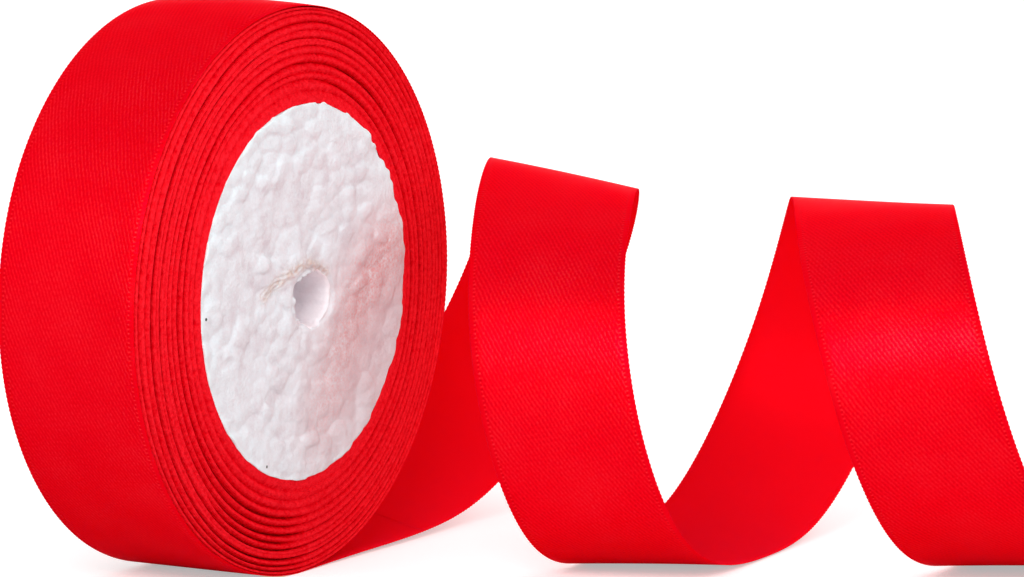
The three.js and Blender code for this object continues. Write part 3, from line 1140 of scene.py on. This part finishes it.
def core_rings(rng, angle, front, back):
    """Closed rings round the core's section, from inside the hole over the front to the back."""
    rim, lip, side = core_outlines(rng, angle)
    unit = np.stack([np.cos(angle), np.sin(angle)], -1)
    rings = []
    kinds = []

    def add(kind, share, y, rim_scale=1.0, outer=lip):
        """Adds a ring: share 0 lies on the hole's rim and 1 on the outer edge."""
        inner_points = HOLE_MIDDLE + unit * (rim * rim_scale)[:, None]
        flat = inner_points * (1 - share) + unit * outer[:, None] * share
        rings.append(np.stack([flat[:, 0], np.full(len(angle), y), flat[:, 1]], -1))
        kinds.append(kind)

    for y in np.linspace(back - HOLE_DEEP, front + HOLE_DEEP, WALL_RINGS):
        flare = HOLE_FLARE * max(0, 1 - (y - front) / HOLE_FLARE_DEPTH)
        add("wall", 0.0, y, HOLE_WAIST + flare)
    add("wall", 0.0, front + HOLE_ROUNDING, HOLE_MOUTH)
    for share in np.linspace(0, 1, FRONT_RINGS):
        add("front", share, front)
    add("side", 1.0, front + LIP_THICKNESS)
    add("side", 1.0, front + LIP_ROOT, outer=side)
    add("side", 1.0, back - LIP_ROOT, outer=side)
    add("side", 1.0, back - LIP_THICKNESS)
    for share in np.linspace(1, 0, BACK_RINGS):
        add("back", share, back)
    add("wall", 0.0, back - HOLE_ROUNDING, HOLE_MOUTH)
    return np.array(rings), np.repeat(kinds, len(angle))


def core_relief(rng, face, torn):
    """Relief of the core's faces at points (x, z in mm): beads, folds of torn skin, and a sunk rim."""
    roughness = np.clip(ROUGH_MEAN + ROUGH_SWING * waves(face, rng, ROUGH_SIZE), ROUGH_LEAST, 1)
    relief = roughness * BEAD_HEIGHT * bead_relief(face, rng) + SWELL_HEIGHT * waves(face, rng, SWELL_SIZE)
    wander = FOLD_WANDER * waves(face, rng, FOLD_WANDER_SIZE)
    folds = np.abs(np.sin(distance_to_line(face, TORN_LINE) * FOLD_RATE + wander))
    relief = relief + torn * TORN_HEIGHT * (folds - FOLD_LEVEL)
    from_rim = np.linalg.norm((face - HOLE_MIDDLE) / HOLE_HALF, axis=1)
    return relief - RIM_SINK * np.exp(-(((from_rim - 1) / RIM_SINK_WIDTH) ** 2))


def core_tint(face, kind, torn, into):
    """Shares at each point of painted red bounce light, of beige torn skin, and of painted light on the
    hole's wall, the last by how deep it lies in the hole.
    """
    # Painted red bounce light from the tail, along a line beside the hole
    bounce_pink = np.exp(-((distance_to_line(face, BOUNCE_LINE) / BOUNCE_WIDTH) ** 2))
    bounce_pink *= np.clip(1 - np.linalg.norm(face - BOUNCE_LINE[0], axis=1) / BOUNCE_FADE, 0, 1)
    depth = np.clip(into / WALL_LIGHT_DEPTH, 0, 1)
    # Painted light on the hole's wall, fading with depth
    grey = np.where(kind == "wall", 1 - WALL_LIGHT_FADE * depth, 0)
    front_face = kind == "front"
    return np.stack([bounce_pink * front_face, torn * front_face, grey], -1)


def foam_core(material):
    """The foam disc: hole wall, front face, rim with its thin lip, and back face, as one closed loft."""
    rng = np.random.default_rng(CORE_SEED)
    angle = np.arange(CORE_AROUND) * 2 * math.pi / CORE_AROUND
    front = MID_Y - WIDTH / 2 - FACE_STEP
    back = front + WIDTH
    sections, kind = core_rings(rng, angle, front, back)
    flat = sections.reshape(-1, 3)
    face = flat[:, [0, 2]].copy()
    torn = np.exp(-((distance_to_line(face, TORN_LINE) / TORN_WIDTH) ** 2))
    relief = core_relief(rng, face, torn)
    flat[:, 1] += np.where(kind == "front", -relief, 0) + np.where(kind == "back", relief, 0)
    flat[:, 2] += ROLL_RADIUS

    verts, faces = loft(flat.reshape(sections.shape) * MM)
    last = (len(sections) - 1) * CORE_AROUND
    seam = []
    for k in range(CORE_AROUND):
        following = (k + 1) % CORE_AROUND
        seam.append((last + k, last + following, following, k))
    faces = [tuple(f) for f in faces] + seam
    core = new_object("core", verts, faces, [material])
    elsewhere = np.where(kind == "front", 0, NOT_FRONT)
    vector_attribute(core, "face_mm", np.column_stack([face, elsewhere]))
    # Shares of painted red bounce light, torn skin and painted light on the hole's wall
    vector_attribute(core, "foam_tint_and_painted_light", core_tint(face, kind, torn, flat[:, 1] - front))
    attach(core, "roll")
    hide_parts("foam_core")


def core_tape(material):
    """Thin patch that holds the ribbon's inner end, between the core and the first turn."""
    angle = np.radians(np.arange(*TAPE_DEGREES, 1.0))
    inner = CORE_RADIUS + TAPE_INNER
    outer = CORE_RADIUS + TAPE_OUTER
    middle = MID_Y - FACE_STEP
    ends = (middle - TAPE_WIDTH / 2, middle + TAPE_WIDTH / 2)
    corners = [(inner, ends[0]), (outer, ends[0]), (outer, ends[1]), (inner, ends[1])]
    rings = [
        np.stack([r * np.cos(angle), np.full(len(angle), y), ROLL_RADIUS + r * np.sin(angle)], -1)
        for r, y in corners
    ]
    sections = np.stack(rings, 1)
    verts, faces = loft(sections * MM)
    faces = cap_ends(faces, sections.shape[0], 4)
    patch = new_object("tape_patch", verts, faces, [material], smooth=False)
    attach(patch, "roll")
    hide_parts("core_tape")


def main():
    """Loads the frame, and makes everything."""
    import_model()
    make_camera()
    wound = [
        satin_outer("satin_outer", WOUND_LIGHT_DEPTH, SATIN_RED),
        satin_inner("satin_inner", WOUND_LIGHT_DEPTH),
    ]
    free = [
        # The tail's copy of the glossy face, in the red painted lighter: painted glow
        satin_outer("tail_outer_painted_glow", FREE_LIGHT_DEPTH, PAINTED_GLOW_RED),
        satin_inner("tail_inner", FREE_LIGHT_DEPTH),
    ]
    outer_ribbon(wound, free)
    foam_core(foam())
    wound_ribbon(satin_edge())
    core_tape(tape())
    make_stage()


main()
